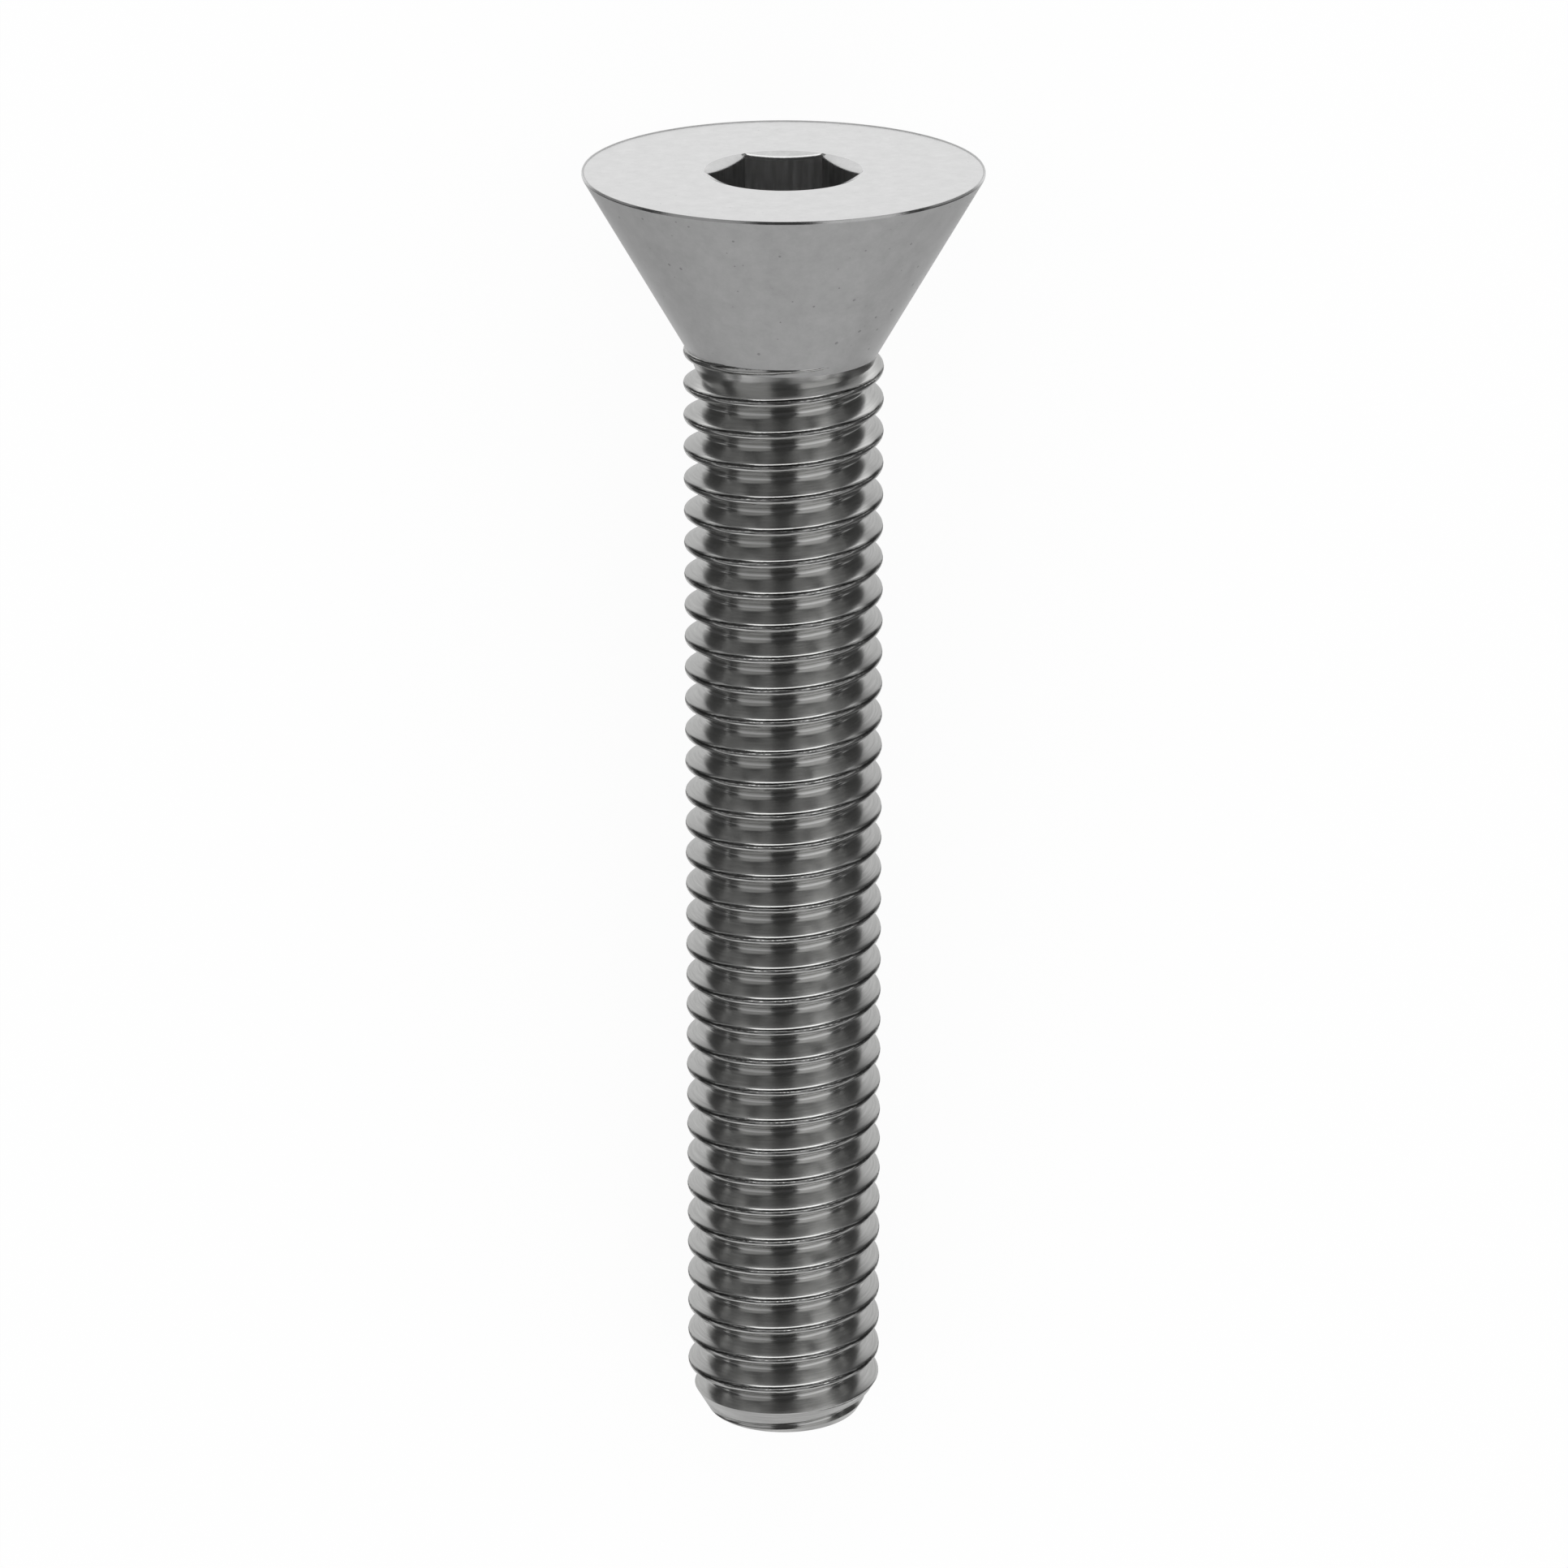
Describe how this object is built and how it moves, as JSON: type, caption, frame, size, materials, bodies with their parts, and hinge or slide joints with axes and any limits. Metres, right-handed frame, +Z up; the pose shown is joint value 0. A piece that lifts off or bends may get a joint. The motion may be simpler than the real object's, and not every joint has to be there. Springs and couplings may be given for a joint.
{
  "type": "countersunk socket screw",
  "caption": "Fully threaded steel screw with a tall countersunk cone head and a hex socket, for a flush fastening driven by a hex key.",
  "frame": {"origin": "on the table, at the middle of the lying screw's box", "axes": "+Y from the tip towards the head, in plan; +Z up; the screw's own axis lies 4.4 degrees above +Y, rising towards the head"},
  "size_m": [0.012, 0.0406, 0.0119],
  "materials": {
    "steel": "plain stainless steel, satin on the head and brighter on the rolled thread"
  },
  "bodies": {
    "root": {"screw": "steel"}
  },
  "joints": []
}
